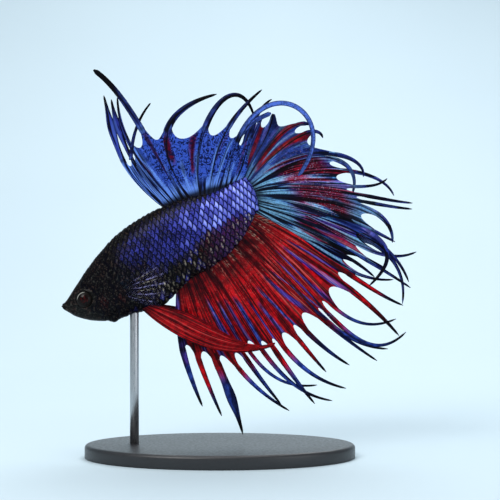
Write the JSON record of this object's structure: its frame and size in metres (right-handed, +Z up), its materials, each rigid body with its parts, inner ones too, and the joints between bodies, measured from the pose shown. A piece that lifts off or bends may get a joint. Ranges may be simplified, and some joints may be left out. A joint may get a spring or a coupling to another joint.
{
  "type": "betta fish model",
  "caption": "Life-size crowntail betta fish with spread, long-rayed fins in blue, violet and red, held nose-down on a thin rod above a flat oval display base.",
  "frame": {"origin": "centre of the stand base's flat underside", "axes": "+Z up; the fish faces -X with its head low, and its left side, the side shown, faces -Y"},
  "size_m": [0.0791, 0.038, 0.0864],
  "materials": {
    "head_skin": "wet near-black skin with small dark scales",
    "eye": "glossy dark eye with a red-brown iris",
    "body_scales": "satin violet-blue scales edged in black",
    "blue_fin": "satin blue web with dark rays and red streaks",
    "red_fin": "satin deep red web with blue streaks and dark ray ends",
    "clear_fin": "thin, dark, nearly clear web",
    "stand_base": "satin black, plain",
    "stand_rod": "plain brushed rod"
  },
  "bodies": {
    "root": {"head": "head_skin", "jaw": "head_skin", "gill_cover_left": "head_skin", "gill_cover_right": "head_skin", "eye_left": "eye", "eye_right": "eye", "trunk_front": "body_scales", "trunk_rear": "body_scales", "tail_peduncle": "body_scales", "dorsal_fin": "blue_fin", "caudal_fin": "blue_fin", "anal_fin": "red_fin", "pelvic_fin_left": "red_fin", "pelvic_fin_right": "red_fin", "pectoral_fin_left": "clear_fin", "pectoral_fin_right": "clear_fin", "stand_base": "stand_base", "stand_rod": "stand_rod"}
  },
  "joints": []
}
